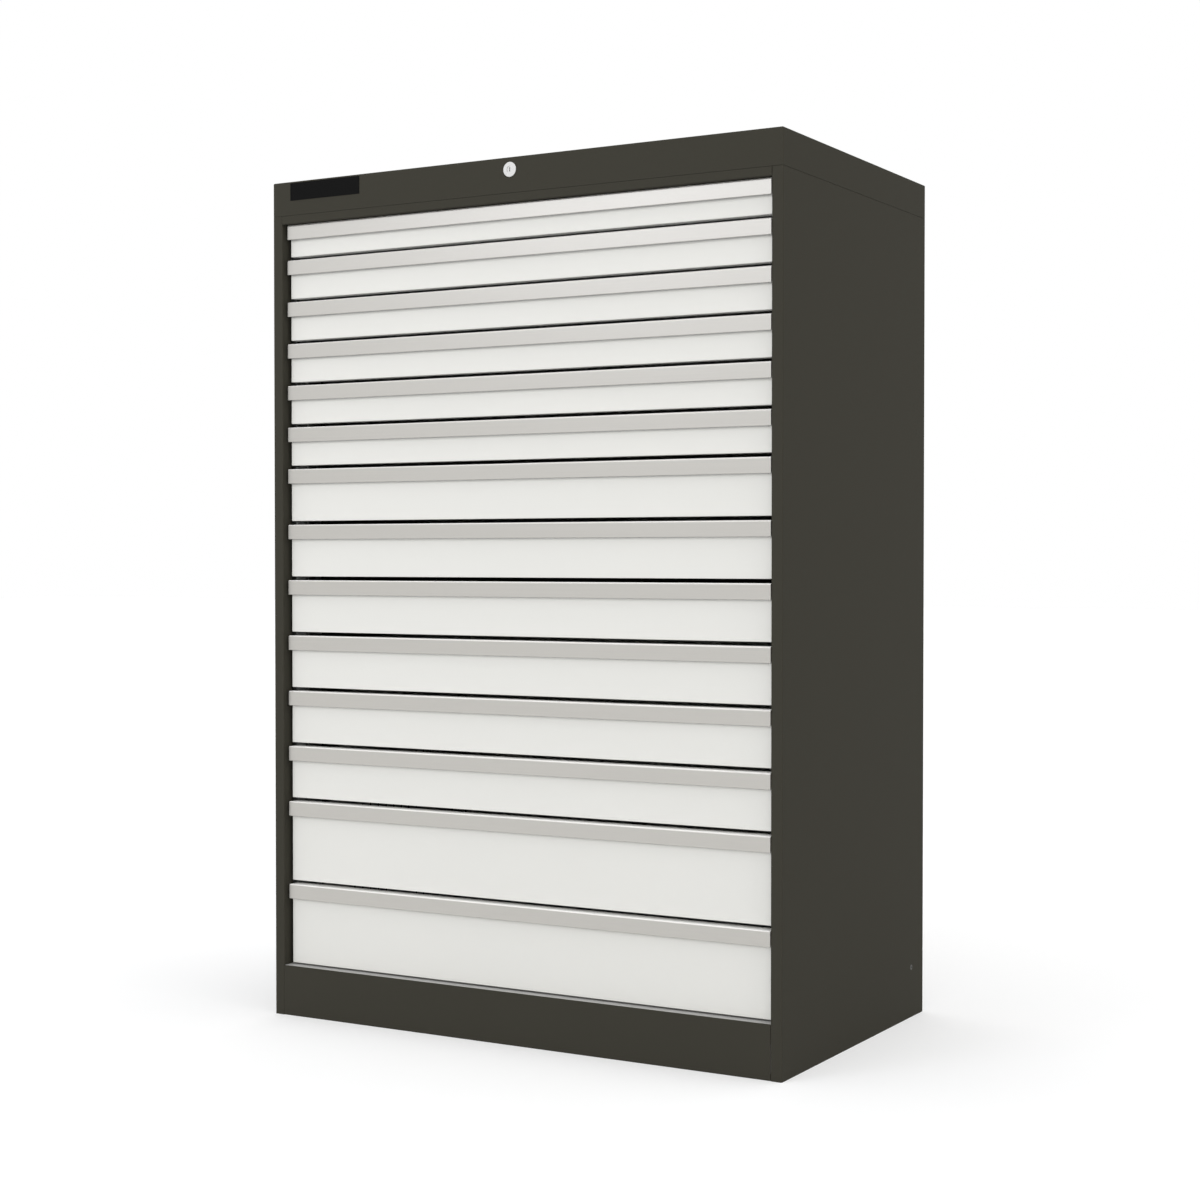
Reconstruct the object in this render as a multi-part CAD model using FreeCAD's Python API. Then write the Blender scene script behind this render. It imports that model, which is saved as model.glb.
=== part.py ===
import FreeCAD, Part
import math
import os

# Heavy-duty drawer cabinet, in millimetres. X runs to the right seen from the front, Y from the front
# to the back and Z up. The origin lies on the floor, under the middle of the cabinet. A depth is
# measured backwards from the plane of the front posts.

# Shell
cabinet_width = 1010.0
cabinet_depth = 605.0
shell_sheet = 1.5
shell_bend = 2.2  # outside radius of every fold in the shell
post_width = 20.0
post_return = 25.0
rear_flange = 20.0
back_sheet = 1.2
plinth_height = 90.0
foot_flange = 40.0
floor_pan_apron = 30.0
cap_height = 60.0
cap_seam = 0.3
seam_edge_radius = 0.7  # on the edges under the seam
header_face = 14.7
header_return = 25.0
header_lap = 9.0
top_flange = 20.0
side_tab_gap = 4.0  # from the rear upright to the tab
side_tab_height = 105.0

# Drawer stack, counted from the top
slot_pitch = 25.0
shallow_drawers = 6
shallow_units = 3  # pitch of a shallow drawer, in slots
medium_drawers = 6
medium_units = 4
deep_drawers = 2
deep_units = 6
floor_gap = 3.0
front_gap = 7.0
top_trim = 12.0  # the top front is this much lower, to leave room for the header
header_gap = 1.0

# Drawer front and handle
side_gap = 6.4
front_setback = 17.0
front_thickness = 20.0
front_sheet = 1.2
front_edge_radius = 1.2
front_end_radius = 1.1
pan_flange = 14.0
handle_setback = 9.0
handle_side_gap = 5.0
handle_lip = 26.0
handle_wall = 2.0
handle_edge_radius = 2.5
handle_hook = 7.0
hook_wall = 1.5
pocket_depth = 12.0
pocket_mouth = 24.0  # from the handle's top down to where the front folds back

# Drawer tray
tray_sheet = 1.2
tray_bend = 2.5
tray_side_space = 23.0  # from the tray's wall to the post's edge, for the slides
tray_rise = 4.0
tray_drop = 8.0
tray_back_space = 27.0

# Slides
slide_height = 34.0
slide_sheet = 1.5
slide_bend = 2.0
slide_rise = 12.0
rail_reach = 9.5  # width of the fixed and the drawer channel
rail_start = 45.0
rail_reserve = 10.0  # what is left of the rail's length at full travel
rail_seat = 1.0  # how far the fixed channel stands behind the post's edge
bar_height = 30.0
bar_thickness = 3.0
bar_gap = 1.0
roller_gap = 0.3
axle_radius = 3.0
axle_gap = 0.05
roller_inset = 22.0
roller_spread = 230.0
tray_rail_start = 40.0
drawer_travel = 525.0

# Uprights, with a row of slots for the hooks of the fixed channels
upright_sheet = 2.0
upright_bend = 2.8
upright_width = 40.0
front_upright_depth = 75.0
rear_upright_inset = 75.0  # from the cabinet's back to the rear upright
upright_foot = 60.0
upright_margin = 15.0
slot_width = 5.0
slot_height = 16.0
hook_width = 4.0
hook_height = 9.0
hook_drop = 4.0
hook_thickness = 2.0
hook_gap = 0.3

# Central lock
rosette_radius = 12.7
rosette_proud = 1.6
rosette_edge = 0.5
lock_drop = 21.0  # from the top of the cap to the lock's axis
barrel_radius = 9.5
barrel_length = 24.0
barrel_gap = 0.1
plug_radius = 5.5
plug_gap = 0.05
plug_recess = 0.6
keyway_width = 1.4
keyway_height = 7.0
keyway_depth = 8.0
tail_radius = 4.0
nut_across = 24.0
nut_sides = 6
nut_thickness = 4.0
cam_depth = 33.0
cam_thickness = 3.0
cam_width = 11.0
cam_arm = 10.0
cam_pin_radius = 2.0
cam_pin_gap = 0.45
cam_turn = 90.0
link_depth = 38.3
link_thickness = 3.0
link_height = 20.0
link_drop = 2.0  # from the lock's axis to the link's upper edge
link_overhang = 9.0
bar_travel = 8.0
bar_pin_radius = 2.5
bar_pin_gap = 0.3
bar_pin_inset = 15.0  # from the post's inner edge to the pin
bar_pin_margin = 8.0
lock_bar_width = 10.0
lock_bar_depth = 42.0
lock_bar_thickness = 4.0
lock_bar_inset = 3.0  # behind the post's inner edge
lock_bar_arm = 26.0
lock_bar_foot = 10.0
catch_height = 7.0
catch_thickness = 3.0
catch_reach = 15.0
catch_gap = 3.0
notch_margin = 1.0
striker_depth = 50.0
striker_thickness = 4.0
striker_reach = 12.0
striker_height = 6.0
striker_rise = 2.0
guide_sheet = 1.5
guide_bend = 2.2
guide_gap = 0.3
guide_width = 20.0
guide_places = (-330.0, -90.0)
guide_upstand = 25.0
guide_lip = 9.0
keeper_rise = 18.0

# Plate for a badge, left bare, and the small fasteners
badge_width = 152.0
badge_height = 31.0
badge_thickness = 0.8
badge_left = 39.5  # from the cabinet's side
badge_top = 3.0
badge_radius = 1.5
screw_offset = 18.0  # from the rear upright to the screw's axis
screw_height = 90.0
screw_head_radius = 4.75
screw_radius = 2.5
screw_head_depth = 2.3
screw_length = 12.0
screw_gap = 0.05
socket_radius = 1.6
socket_depth = 1.4
anchor_radius = 6.0
anchor_inset = 22.0
anchor_side = 65.0

# Worked out from the sizes above
front_y = (rosette_proud - cabinet_depth) / 2
half_width = cabinet_width / 2
panel_inside = half_width - shell_sheet
opening_half = half_width - post_width
front_half = opening_half - side_gap
handle_half = opening_half - handle_side_gap
tray_half = opening_half - tray_side_space
back_inside = cabinet_depth - shell_sheet - back_sheet
stack_bottom = plinth_height + floor_gap
front_back = front_setback + front_thickness
tray_end = back_inside - tray_back_space
rail_length = drawer_travel + rail_reserve
rail_outside = opening_half + rail_seat
bar_inside = tray_half + rail_reach + bar_gap
bar_outside = bar_inside + bar_thickness
rear_upright_end = cabinet_depth - rear_upright_inset
rear_upright_depth = rear_upright_end - upright_width
screw_depth = rear_upright_end + screw_offset
roller_radius = slide_height / 2 - slide_sheet - roller_gap
near_enough = 1e-3


def drawer_levels():
    """Lower and upper edge of each drawer's front with its handle, from the top drawer down."""
    units = [shallow_units] * shallow_drawers
    units += [medium_units] * medium_drawers
    units += [deep_units] * deep_drawers
    bottom = stack_bottom + sum(units) * slot_pitch
    levels = []
    for count in units:
        bottom -= count * slot_pitch
        levels.append((bottom, bottom + count * slot_pitch - front_gap))
    levels[0] = (levels[0][0], levels[0][1] - top_trim)
    return levels


levels = drawer_levels()
header_bottom = levels[0][1] + header_gap
body_top = header_bottom + header_face
cap_bottom = body_top + cap_seam
cabinet_height = cap_bottom + cap_height
cap_inside = cabinet_height - shell_sheet
slot_zero = stack_bottom + slide_rise + slide_height / 2
slot_count = round((levels[0][0] - stack_bottom) / slot_pitch) + 1
upright_top = slot_zero + (slot_count - 1) * slot_pitch + upright_margin
lock_height = cabinet_height - lock_drop
link_top = lock_height - link_drop
link_bottom = link_top - link_height
link_travel = 2 * cam_arm * math.sin(math.radians(cam_turn / 2))
bar_pin_x = -(opening_half - bar_pin_inset)
bar_pin_z = link_bottom + (link_height - bar_travel) / 2


def place(plane, u, v, w):
    """A point of a profile: the plan has X and depth, the side depth and Z, the front X and Z."""
    if plane == "plan":
        return FreeCAD.Vector(u, front_y + v, w)
    if plane == "side":
        return FreeCAD.Vector(w, front_y + u, v)
    return FreeCAD.Vector(u, front_y + w, v)


def prism(plane, corners, start, end):
    """A straight extrusion of a closed outline. Each corner is (u, v, radius)."""
    points = [FreeCAD.Vector(u, v, 0) for u, v, radius in corners]
    rounded = []
    for index, here in enumerate(points):
        radius = corners[index][2]
        before = (points[index - 1] - here).normalize()
        after = (points[(index + 1) % len(points)] - here).normalize()
        if radius <= 0:
            rounded.append((here, None, here))
            continue
        half = before.getAngle(after) / 2
        reach = radius / math.tan(half)
        bisector = (before + after).normalize()
        middle = here + bisector * (radius / math.sin(half) - radius)
        rounded.append((here + before * reach, middle, here + after * reach))
    edges = []
    for index, (first, middle, last) in enumerate(rounded):
        ends = [place(plane, point.x, point.y, start) for point in (first, last)]
        if middle:
            edges.append(Part.Arc(ends[0], place(plane, middle.x, middle.y, start), ends[1]).toShape())
        following = rounded[(index + 1) % len(rounded)][0]
        if (following - last).Length > near_enough:
            edges.append(Part.makeLine(ends[1], place(plane, following.x, following.y, start)))
    along = place(plane, 0, 0, end) - place(plane, 0, 0, start)
    return Part.Face(Part.Wire(edges)).extrude(along)


def mitre(before, after, distance):
    """The step from a corner to the same corner of a line that runs at a distance on the left."""
    left_before = FreeCAD.Vector(-before.y, before.x, 0)
    left_after = FreeCAD.Vector(-after.y, after.x, 0)
    return (left_before + left_after) * (distance / (1 + left_before.dot(left_after)))


def folded(plane, path, thickness, bend, start, end):
    """A folded sheet, on the left of an open path. The bend is each fold's outside radius."""
    points = [FreeCAD.Vector(u, v, 0) for u, v in path]
    runs = [(after - here).normalize() for here, after in zip(points, points[1:])]
    near = []
    far = []
    for index, here in enumerate(points):
        before = runs[max(index - 1, 0)]
        after = runs[min(index, len(runs) - 1)]
        turn = before.x * after.y - before.y * after.x
        other = here + mitre(before, after, thickness)
        near_radius = 0
        far_radius = 0
        if turn > near_enough:
            near_radius = bend
            far_radius = bend - thickness
        if turn < -near_enough:
            near_radius = bend - thickness
            far_radius = bend
        near.append((here.x, here.y, near_radius))
        far.append((other.x, other.y, far_radius))
    return prism(plane, near + far[::-1], start, end)


def inset(corners, distance):
    """The outline that runs at a distance inside a closed one, which turns to the left."""
    points = [FreeCAD.Vector(u, v, 0) for u, v, radius in corners]
    result = []
    for index, here in enumerate(points):
        before = (here - points[index - 1]).normalize()
        after = (points[(index + 1) % len(points)] - here).normalize()
        moved = here + mitre(before, after, distance)
        result.append((moved.x, moved.y, max(corners[index][2] - distance, 0)))
    return result


def block(x0, x1, d0, d1, z0, z1):
    """A box between two values of X, two depths and two heights."""
    corner = FreeCAD.Vector(min(x0, x1), front_y + d0, z0)
    return Part.makeBox(abs(x1 - x0), d1 - d0, z1 - z0, corner)


def bar_in_depth(radius, x, z, d0, d1):
    """A round bar that runs from front to back."""
    return Part.makeCylinder(radius, d1 - d0, FreeCAD.Vector(x, front_y + d0, z), FreeCAD.Vector(0, 1, 0))


def bar_across(radius, x0, x1, depth, z):
    """A round bar that runs from left to right."""
    base = FreeCAD.Vector(x0, front_y + depth, z)
    return Part.makeCylinder(radius, x1 - x0, base, FreeCAD.Vector(1, 0, 0))


def mirrored(solid):
    """The same piece on the other side of the cabinet."""
    return solid.mirror(FreeCAD.Vector(0, 0, 0), FreeCAD.Vector(1, 0, 0))


def save(node, solids):
    """Write the solids of one node to its file."""
    shape = solids[0] if len(solids) == 1 else Part.makeCompound(solids)
    shape.exportStep("parts/" + node + ".step")


def side_screw(gap):
    """The countersunk screw of the right side, or with a gap the hole that it sits in."""
    axis = FreeCAD.Vector(-1, 0, 0)
    top = FreeCAD.Vector(half_width, front_y + screw_depth, screw_height)
    head = Part.makeCone(screw_head_radius + gap, screw_radius + gap, screw_head_depth, top, axis)
    shank = Part.makeCylinder(screw_radius + gap, screw_length, top, axis)
    return head.fuse(shank).removeSplitter()


def make_side_screws():
    """A countersunk screw low in each side panel, near the back."""
    socket = bar_across(socket_radius, half_width - socket_depth, half_width, screw_depth, screw_height)
    screw = side_screw(0).cut(socket)
    return [screw, mirrored(screw)]


def eased_top(solid):
    """A piece of the shell with its outer upper edges eased, under the cap's seam."""
    skin = shell_sheet / 2 - near_enough
    edges = []
    for edge in solid.Edges:
        middle = edge.valueAt((edge.FirstParameter + edge.LastParameter) / 2)
        depth = middle.y - front_y
        outside = middle.x > half_width - skin or depth < skin or depth > cabinet_depth - skin
        if middle.z > body_top - near_enough and outside:
            edges.append(edge)
    return solid.makeFillet(seam_edge_radius, edges)


def make_side_panel():
    """The right side panel, with the front post and the rear flange folded on it."""
    path = [(opening_half, post_return), (opening_half, 0), (half_width, 0)]
    path += [(half_width, cabinet_depth), (half_width - rear_flange, cabinet_depth)]
    panel = folded("plan", path, shell_sheet, shell_bend, 0, body_top)
    return eased_top(panel).cut(side_screw(screw_gap))


def make_back_panel():
    """The flat back, in front of the rear flanges and up into the cap."""
    side = half_width - shell_bend
    top = cabinet_height - shell_bend
    return block(-side, side, back_inside, back_inside + back_sheet, shell_sheet, top)


def anchor_hole(x, depth):
    """A hole for a floor anchor, through a flange that lies on the floor."""
    base = FreeCAD.Vector(x, front_y + depth, 0)
    return Part.makeCylinder(anchor_radius, shell_sheet, base)


def make_plinth():
    """The front of the base between the posts, with its foot flange on the floor."""
    outline = [(foot_flange, 0, 0), (foot_flange, shell_sheet, 0)]
    outline += [(shell_sheet, shell_sheet, shell_bend - shell_sheet), (shell_sheet, plinth_height, 0)]
    outline += [(0, plinth_height, 0), (0, 0, shell_bend)]
    plinth = prism("side", outline, -opening_half, opening_half)
    for x in (-1, 1):
        plinth = plinth.cut(anchor_hole(x * (half_width - anchor_side), anchor_inset))
    return plinth


def make_rear_base_rail():
    """The angle under the back, with a folded tab against each side panel."""
    web_top = plinth_height - floor_pan_apron
    web = block(-panel_inside, panel_inside, back_inside - shell_sheet, back_inside, 0, web_top)
    flange = block(-panel_inside, panel_inside, back_inside - foot_flange, back_inside, 0, shell_sheet)
    tab_start = rear_upright_end + side_tab_gap
    tab = block(panel_inside - shell_sheet, panel_inside, tab_start, back_inside, 0, side_tab_height)
    rail = web.fuse([flange, tab, mirrored(tab)]).removeSplitter()
    hole = side_screw(screw_gap)
    rail = rail.cut([hole, mirrored(hole)])
    rear_row = cabinet_depth - anchor_inset
    for x in (-1, 1):
        rail = rail.cut(anchor_hole(x * (half_width - anchor_side), rear_row))
    return rail


def make_floor_pan():
    """The floor over the base, with a notch for the lowest catch. In front it shows as a ledge."""
    apron = plinth_height - floor_pan_apron
    path = [(back_inside, apron), (back_inside, plinth_height)]
    path += [(shell_sheet, plinth_height), (shell_sheet, apron)]
    pan = folded("side", path, shell_sheet, shell_bend, -opening_half, opening_half)
    catch = lock_bar_depth + lock_bar_thickness
    near = catch - notch_margin
    far = catch + catch_thickness + notch_margin
    tip = -opening_half + catch_reach + notch_margin
    return pan.cut(block(-opening_half, tip, near, far, plinth_height - shell_sheet, plinth_height))


def make_header_rail():
    """The rail over the top drawer. Its upper web lies behind the cap's skirt."""
    path = [(header_return, header_bottom), (0, header_bottom), (0, body_top)]
    face = folded("side", [path[2], path[1], path[0]], shell_sheet, shell_bend, -opening_half, opening_half)
    web_path = [(shell_sheet, body_top - header_lap), (shell_sheet, cap_inside)]
    web_path += [(shell_sheet + top_flange, cap_inside)]
    web = folded("side", web_path[::-1], shell_sheet, shell_bend, -opening_half, opening_half)
    rail = eased_top(face).fuse(web).removeSplitter()
    hole = bar_in_depth(barrel_radius + barrel_gap, 0, lock_height, 0, shell_sheet * 2)
    return rail.cut(hole)


def make_top_rail():
    """The right angle that joins the side panel to the cap, from the inside."""
    start = upright_top + cap_seam
    path = [(panel_inside, start), (panel_inside, cap_inside), (opening_half, cap_inside)]
    return folded("front", path, shell_sheet, shell_bend, shell_bend, back_inside)


def rounded_box(x, d0, d1, z0, z1, radius):
    """A box about the middle plane, rounded along every edge but those of its underside."""
    solid = block(-x, x, d0, d1, z0, z1)
    edges = [edge for edge in solid.Edges if edge.BoundBox.ZMax > z0 + near_enough]
    return solid.makeFillet(radius, edges)


def make_top_cap():
    """The cap: a tray turned upside down, with a hole for the lock in its front skirt."""
    outside = rounded_box(half_width, 0, cabinet_depth, cap_bottom, cabinet_height, shell_bend)
    rear = cabinet_depth - shell_sheet
    low = cap_bottom - shell_sheet
    inside = rounded_box(panel_inside, shell_sheet, rear, low, cap_inside, shell_bend - shell_sheet)
    hole = bar_in_depth(barrel_radius + barrel_gap, 0, lock_height, 0, shell_sheet)
    return outside.cut(inside).cut(hole)


def make_badge_plate():
    """The plate on the cap's front, left bare."""
    left = -half_width + badge_left
    right = left + badge_width
    top = cabinet_height - badge_top
    low = top - badge_height
    corners = [(left, low, badge_radius), (right, low, badge_radius)]
    corners += [(right, top, badge_radius), (left, top, badge_radius)]
    return prism("front", corners, -badge_thickness, 0)


def make_upright(depth):
    """A right upright: a slotted channel with its flanges on the side panel."""
    far = depth + upright_width
    path = [(panel_inside, far), (rail_outside, far), (rail_outside, depth), (panel_inside, depth)]
    upright = folded("plan", path, upright_sheet, upright_bend, upright_foot, upright_top)
    middle = depth + upright_width / 2
    slots = []
    for index in range(slot_count):
        low = slot_zero + index * slot_pitch - slot_height / 2
        near = middle - slot_width / 2
        through = rail_outside + upright_sheet
        slots.append(block(rail_outside, through, near, near + slot_width, low, low + slot_height))
    return upright.cut(Part.makeCompound(slots))


def make_fixed_rail(bottom):
    """A right channel that hangs by two hooks in the slots of the uprights."""
    low = bottom + slide_rise
    high = low + slide_height
    inner = rail_outside - rail_reach
    path = [(inner, low), (rail_outside, low), (rail_outside, high), (inner, high)]
    rail = folded("front", path, slide_sheet, slide_bend, rail_start, rail_start + rail_length)
    hooks = []
    for depth in (front_upright_depth, rear_upright_depth):
        near = depth + (upright_width - hook_width) / 2
        far = near + hook_width
        seat = (low + high) / 2 - slot_height / 2
        top = seat + hook_height
        back = rail_outside + upright_sheet + hook_gap
        web = rail_outside - slide_sheet
        hooks.append(block(web, back + hook_thickness, near, far, seat, top))
        hooks.append(block(back, back + hook_thickness, near, far, seat - hook_drop, top))
    return rail.fuse(hooks).removeSplitter()


def make_slide(bottom):
    """The right intermediate bar, its axles and its rollers: the rear pair run in the fixed channel."""
    middle = bottom + slide_rise + slide_height / 2
    half = bar_height / 2
    rail_end = rail_start + rail_length
    bar = block(bar_inside, bar_outside, rail_start, rail_end, middle - half, middle + half)
    fixed_web = rail_outside - slide_sheet
    tray_web = tray_half + slide_sheet
    outer = (bar_outside + roller_gap, fixed_web - roller_gap)
    inner = (tray_web + roller_gap, bar_inside - roller_gap)
    rear = rail_end - roller_inset
    front = rail_start + roller_inset
    spots = [(rear, outer), (rear - roller_spread, outer)]
    spots += [(front, inner), (front + roller_spread, inner)]
    pieces = [bar]
    for depth, (near, far) in spots:
        axle_start = min(near, bar_outside)
        axle_end = max(far, bar_inside)
        pieces.append(bar_across(axle_radius, axle_start, axle_end, depth, middle))
        roller = bar_across(roller_radius, near, far, depth, middle)
        bore = bar_across(axle_radius + axle_gap, near, far, depth, middle)
        pieces.append(roller.cut(bore))
    return pieces


def make_tray(bottom, top):
    """The open tray of a drawer: a folded floor with two sides, and two end walls."""
    low = bottom + tray_rise
    high = top - tray_drop
    path = [(-tray_half, high), (-tray_half, low), (tray_half, low), (tray_half, high)]
    tray = folded("front", path, tray_sheet, tray_bend, front_back, tray_end)
    corners = [(-tray_half, high, 0), (-tray_half, low, tray_bend)]
    corners += [(tray_half, low, tray_bend), (tray_half, high, 0)]
    front_wall = prism("front", corners, front_back, front_back + tray_sheet)
    back_wall = prism("front", corners, tray_end - tray_sheet, tray_end)
    return tray.fuse([front_wall, back_wall]).removeSplitter()


def make_front_pan(bottom, top):
    """The hollow front of a drawer, folded back at the top to make room for fingers."""
    seat = top - handle_wall
    fold = front_setback + pocket_depth
    mouth = top - pocket_mouth
    corners = [(front_setback, bottom, front_edge_radius), (front_back, bottom, front_edge_radius)]
    corners += [(front_back, seat, 0), (fold, seat, 0)]
    corners += [(fold, mouth + pocket_depth, 0), (front_setback, mouth, 0)]
    pan = prism("side", corners, -front_half, front_half)
    limit = front_y + front_setback + near_enough
    ends = [edge for edge in pan.Edges if edge.BoundBox.YMax < limit and edge.BoundBox.XLength < near_enough]
    pan = pan.makeFillet(front_end_radius, ends)
    hollow = prism("side", inset(corners, front_sheet), front_sheet - front_half, front_half - front_sheet)
    window_x = front_half - pan_flange
    low = bottom + pan_flange
    high = seat - pan_flange
    window = block(-window_x, window_x, front_back - front_sheet, front_back, low, high)
    return pan.cut(hollow).cut(window)


def make_handle(top):
    """The full-width pull: a lip in front, a seat on the pan and a hook behind it."""
    seat = top - handle_wall
    lip_back = handle_setback + handle_wall
    fold = front_setback + pocket_depth
    hook = front_back + hook_wall
    web = fold - hook_wall
    leg = top - pocket_mouth + pocket_depth
    round_edge = handle_edge_radius
    corners = [(handle_setback, top - handle_lip, hook_wall / 2), (lip_back, top - handle_lip, 0)]
    corners += [(lip_back, seat, 0), (web, seat, 0), (web, leg, 0), (fold, leg, 0), (fold, seat, 0)]
    corners += [(front_back, seat, 0), (front_back, top - handle_hook, 0)]
    corners += [(hook, top - handle_hook, 0), (hook, top, round_edge), (handle_setback, top, round_edge)]
    return prism("side", corners, -handle_half, handle_half)


def make_tray_rail(bottom):
    """The right channel on the tray's side, in which the front rollers of the bar run."""
    low = bottom + slide_rise
    high = low + slide_height
    tip = tray_half + rail_reach
    path = [(tip, high), (tray_half, high), (tray_half, low), (tip, low)]
    return folded("front", path, slide_sheet, slide_bend, tray_rail_start, tray_end)


def make_striker(bottom):
    """The lug on the tray's left side that the lock's catch holds."""
    low = bottom + striker_rise
    near = -tray_half - striker_reach
    rear = striker_depth + striker_thickness
    lug = block(near, -tray_half, striker_depth, rear, low, low + striker_height)
    foot = block(-tray_half - slide_sheet, -tray_half, striker_depth, rear + striker_reach, low,
                 low + striker_height)
    return lug.fuse(foot).removeSplitter()


def make_barrel():
    """The lock's barrel and rosette, with the bore for the plug, and the nut behind."""
    rosette = bar_in_depth(rosette_radius, 0, lock_height, -rosette_proud, 0)
    limit = front_y - rosette_proud + near_enough
    rim = [edge for edge in rosette.Edges if edge.BoundBox.YMax < limit]
    rosette = rosette.makeFillet(rosette_edge, rim)
    barrel = bar_in_depth(barrel_radius, 0, lock_height, 0, barrel_length)
    bore = bar_in_depth(plug_radius + plug_gap, 0, lock_height, -rosette_proud, barrel_length)
    return rosette.fuse(barrel).removeSplitter().cut(bore)


def make_lock_nut():
    """The hexagon nut that holds the barrel in the header."""
    corner = nut_across / 2 / math.cos(math.pi / nut_sides)
    corners = []
    for index in range(nut_sides):
        angle = 2 * math.pi * index / nut_sides
        corners.append((corner * math.cos(angle), lock_height + corner * math.sin(angle), 0))
    start = shell_sheet * 2
    nut = prism("front", corners, start, start + nut_thickness)
    return nut.cut(bar_in_depth(barrel_radius + plug_gap, 0, lock_height, start, start + nut_thickness))


def make_plug():
    """The turning plug with its keyway and its tail."""
    start = plug_recess - rosette_proud
    plug = bar_in_depth(plug_radius, 0, lock_height, start, barrel_length)
    tail = bar_in_depth(tail_radius, 0, lock_height, barrel_length, cam_depth + cam_thickness)
    half = keyway_height / 2
    low = lock_height - half
    width = keyway_width / 2
    keyway = block(-width, width, start, start + keyway_depth, low, low + keyway_height)
    return plug.fuse(tail).removeSplitter().cut(keyway)


def make_cam():
    """The cam on the plug's tail, with a pin for the link. Its arm starts half a turn's range back."""
    half = cam_width / 2
    low = lock_height - cam_arm
    arm = block(-half, half, cam_depth, cam_depth + cam_thickness, low, lock_height)
    rear = cam_depth + cam_thickness
    ends = [bar_in_depth(half, 0, height, cam_depth, rear) for height in (low, lock_height)]
    pin_end = link_depth + link_thickness + cam_pin_gap
    pin = bar_in_depth(cam_pin_radius, 0, low, cam_depth, pin_end)
    bore = bar_in_depth(tail_radius + plug_gap, 0, lock_height, cam_depth, rear)
    cam = arm.fuse(ends + [pin]).removeSplitter().cut(bore)
    centre = FreeCAD.Vector(0, 0, lock_height)
    cam.rotate(centre, FreeCAD.Vector(0, 1, 0), -cam_turn / 2)
    return cam


def slot_cutter(x0, z0, x1, z1, radius):
    """A round-ended slot through the link."""
    rear = link_depth + link_thickness
    run = FreeCAD.Vector(x1 - x0, z1 - z0, 0).normalize() * radius
    sides = [(x0 - run.y, z0 + run.x, 0), (x0 + run.y, z0 - run.x, 0)]
    sides += [(x1 + run.y, z1 - run.x, 0), (x1 - run.y, z1 + run.x, 0)]
    cutter = prism("front", sides, link_depth, rear)
    ends = [bar_in_depth(radius, x, z, link_depth, rear) for x, z in ((x0, z0), (x1, z1))]
    return cutter.fuse(ends)


def make_link():
    """The flat link from the cam to the lock bar: its slanted slot lifts the bar."""
    cam_x = cam_arm * math.sin(math.radians(cam_turn / 2))
    left = bar_pin_x - bar_pin_margin
    right = cam_x + link_overhang
    rear = link_depth + link_thickness
    link = block(left, right, link_depth, rear, link_bottom, link_top)
    cam_radius = cam_pin_radius + cam_pin_gap
    low = lock_height - cam_arm
    high = lock_height - cam_arm * math.cos(math.radians(cam_turn / 2))
    cam_slot = slot_cutter(cam_x, low, cam_x, high, cam_radius)
    lift_radius = bar_pin_radius + bar_pin_gap
    lift_slot = slot_cutter(bar_pin_x, bar_pin_z, bar_pin_x + link_travel, bar_pin_z + bar_travel, lift_radius)
    return link.cut([cam_slot, lift_slot])


def catch_top(bottom):
    """Height of a catch's upper edge when the lock is open."""
    return bottom + striker_rise - catch_gap


def make_lock_bar():
    """The upright bar behind the left post, its arm with a pin in the link, and a catch for each drawer."""
    inner = -(opening_half + lock_bar_inset)
    outer = inner - lock_bar_width
    rear = lock_bar_depth + lock_bar_thickness
    arm_low = bar_pin_z - lock_bar_arm / 2
    arm_high = arm_low + lock_bar_arm
    foot = stack_bottom - catch_height - lock_bar_foot
    bar = block(outer, inner, lock_bar_depth, rear, foot, arm_high)
    arm = block(inner, bar_pin_x + bar_pin_margin, lock_bar_depth, rear, arm_low, arm_high)
    pin = bar_in_depth(bar_pin_radius, bar_pin_x, bar_pin_z, link_depth - bar_pin_gap, rear)
    pieces = [bar, arm.fuse(pin).removeSplitter()]
    for bottom, top in levels:
        high = catch_top(bottom)
        tip = -(opening_half - catch_reach)
        pieces.append(block(outer, tip, rear, rear + catch_thickness, high - catch_height, high))
    return pieces


def make_lock_guides():
    """Two brackets under the link, and a keeper round the lock bar at each quarter of the stack."""
    pieces = []
    start = shell_sheet * 2
    shelf = link_bottom - guide_gap - guide_sheet
    end = link_depth + link_thickness + guide_gap + guide_sheet
    path = [(start, shelf + guide_upstand), (start, shelf), (end, shelf), (end, shelf + guide_lip)]
    for x in guide_places:
        pieces.append(folded("side", path, guide_sheet, guide_bend, x, x + guide_width))
    far = lock_bar_depth + lock_bar_thickness + guide_gap + guide_sheet
    near = lock_bar_depth - guide_gap - guide_sheet
    tip = -(opening_half + lock_bar_inset - guide_gap)
    path = [(tip, far), (-panel_inside, far), (-panel_inside, near), (tip, near)]
    for bottom, top in (levels[len(levels) // 4], levels[-len(levels) // 4]):
        low = bottom + keeper_rise
        pieces.append(folded("plan", path, guide_sheet, guide_bend, low, low + guide_width))
    return pieces


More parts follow.
